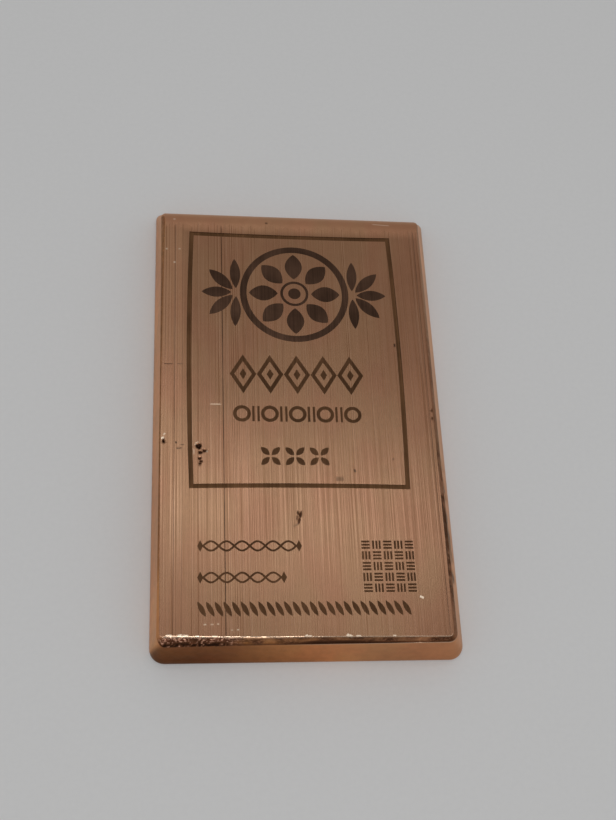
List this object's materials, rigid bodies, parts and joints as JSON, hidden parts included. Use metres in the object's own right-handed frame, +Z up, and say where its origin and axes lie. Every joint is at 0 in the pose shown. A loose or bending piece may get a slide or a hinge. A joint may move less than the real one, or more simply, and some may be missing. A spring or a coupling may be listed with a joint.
{
  "type": "copper ingot",
  "caption": "Small cast copper bar with drafted walls, a rolled far edge, bevelled shoulders and a shallow marked frame on its ground face.",
  "frame": {"origin": "middle of the resting face, centred on the outline of the foot", "axes": "+Z up from the wide resting face to the ground face, +Y along the bar towards its rolled far end, +X across the bar to the side with the larger draft"},
  "size_m": [0.0644, 0.107, 0.0088],
  "materials": {
    "copper": "cast copper, belt-ground lengthwise on the top face, smooth cast walls, dark oxidised skin on the near and right shoulders"
  },
  "bodies": {
    "root": {"ingot": "copper"}
  },
  "joints": []
}
